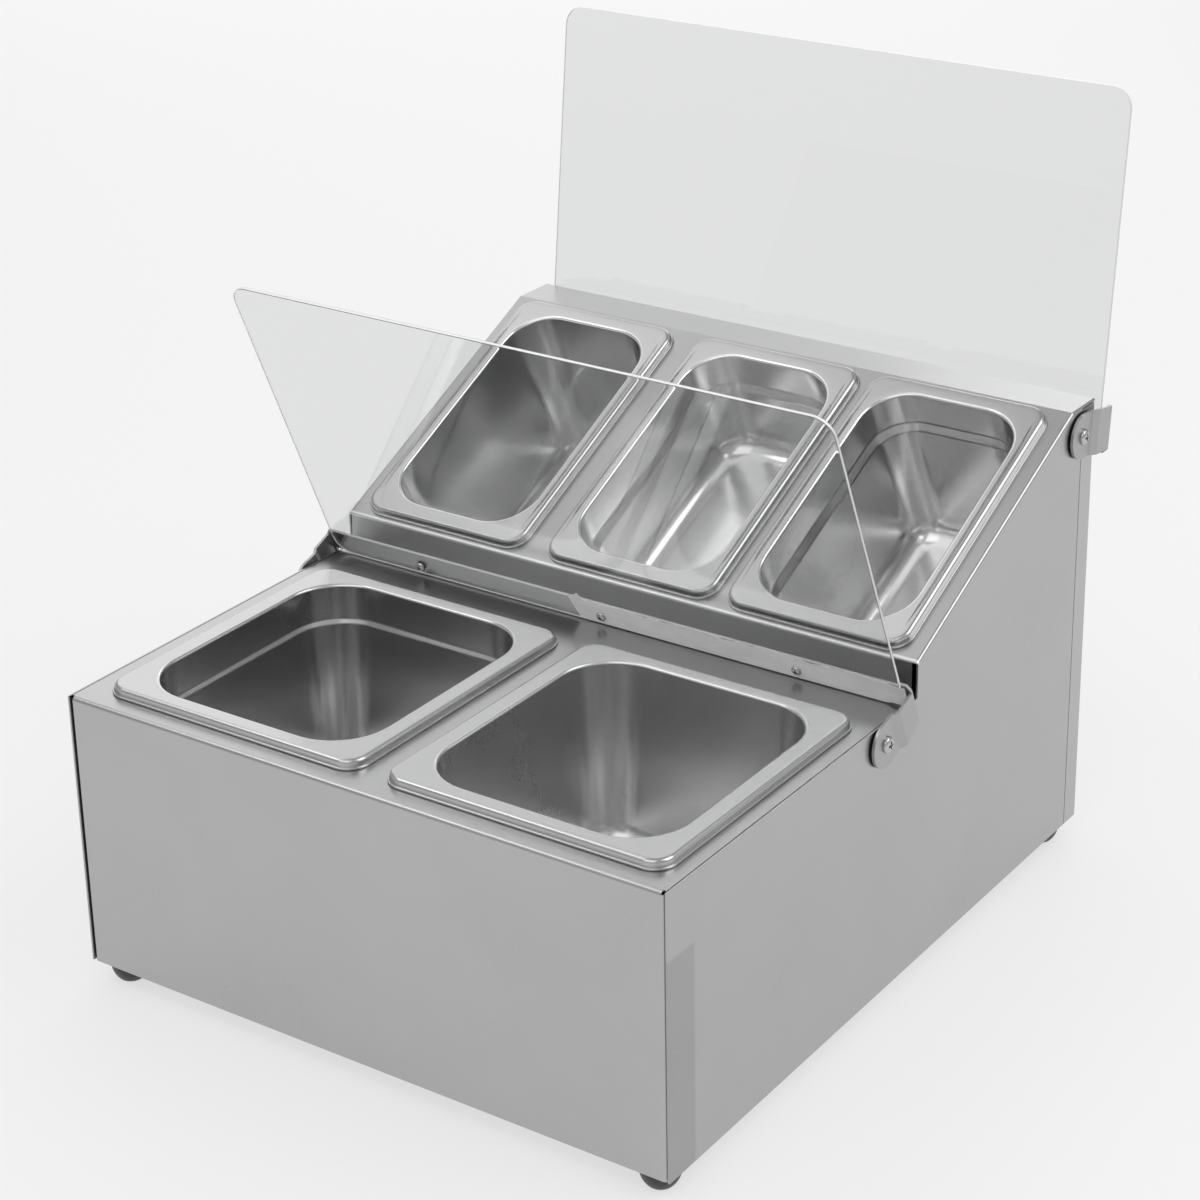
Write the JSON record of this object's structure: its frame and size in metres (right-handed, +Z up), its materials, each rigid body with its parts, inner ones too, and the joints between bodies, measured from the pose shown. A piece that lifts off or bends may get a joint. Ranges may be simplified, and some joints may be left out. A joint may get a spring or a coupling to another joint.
{
  "type": "condiment holder",
  "caption": "Counter-top condiment holder: stepped folded-steel housing, lift-out steel pans on a flat deck and a sloped deck, and hinged clear lids over both.",
  "frame": {"origin": "on the table, below the middle of the whole object with its lids open as pictured", "axes": "+X to the right seen from the front, +Y to the back, +Z up"},
  "size_m": [0.371, 0.4467, 0.4263],
  "materials": {
    "housing_steel": "brushed",
    "pan_steel": "satin polished",
    "hinge_steel": "brushed",
    "fastener_steel": "polished",
    "clear_acrylic": "clear gloss",
    "foot_rubber": "satin",
    "washer_nylon": "matt"
  },
  "bodies": {
    "housing": {"body_shell": "housing_steel", "front_deck_panel": "housing_steel", "rear_panel": "housing_steel", "base_panel": "housing_steel", "foot_front_left": "foot_rubber", "foot_front_right": "foot_rubber", "foot_rear_left": "foot_rubber", "foot_rear_right": "foot_rubber", "foot_screws": "fastener_steel", "foot_nuts": "fastener_steel", "pivot_screws": "fastener_steel", "pivot_washers": "washer_nylon", "pivot_nuts": "fastener_steel"},
    "front_lid_set": {"front_lid": "clear_acrylic", "front_lid_bar": "hinge_steel", "front_lid_screws": "fastener_steel", "front_lid_nuts": "fastener_steel"},
    "rear_lid_set": {"rear_lid": "clear_acrylic", "rear_lid_bar": "hinge_steel", "rear_lid_screws": "fastener_steel", "rear_lid_nuts": "fastener_steel"},
    "front_pan_left_body": {"front_pan_left": "pan_steel"},
    "front_pan_right_body": {"front_pan_right": "pan_steel"},
    "rear_pan_left_body": {"rear_pan_left": "pan_steel"},
    "rear_pan_middle_body": {"rear_pan_middle": "pan_steel"},
    "rear_pan_right_body": {"rear_pan_right": "pan_steel"}
  },
  "joints": [
    {"name": "front_lid_hinge", "type": "hinge", "parent": "housing", "child": "front_lid_set", "pos_m": [0, -0.03139, 0.1556], "axis": [-1, 0, 0], "range_deg": [-67, 0]},
    {"name": "rear_lid_hinge", "type": "hinge", "parent": "housing", "child": "rear_lid_set", "pos_m": [0, 0.17561, 0.248], "axis": [-1, 0, 0], "range_deg": [-122, 15]},
    {"name": "front_pan_left_lift", "type": "slide", "parent": "housing", "child": "front_pan_left_body", "axis": [0, 0, 1], "range_m": [0, 0.045]},
    {"name": "front_pan_right_lift", "type": "slide", "parent": "housing", "child": "front_pan_right_body", "axis": [0, 0, 1], "range_m": [0, 0.045]},
    {"name": "rear_pan_left_lift", "type": "slide", "parent": "housing", "child": "rear_pan_left_body", "axis": [0, -0.4298, 0.9029], "range_m": [0, 0.11]},
    {"name": "rear_pan_middle_lift", "type": "slide", "parent": "housing", "child": "rear_pan_middle_body", "axis": [0, -0.4298, 0.9029], "range_m": [0, 0.075]},
    {"name": "rear_pan_right_lift", "type": "slide", "parent": "housing", "child": "rear_pan_right_body", "axis": [0, -0.4298, 0.9029], "range_m": [0, 0.11]}
  ]
}
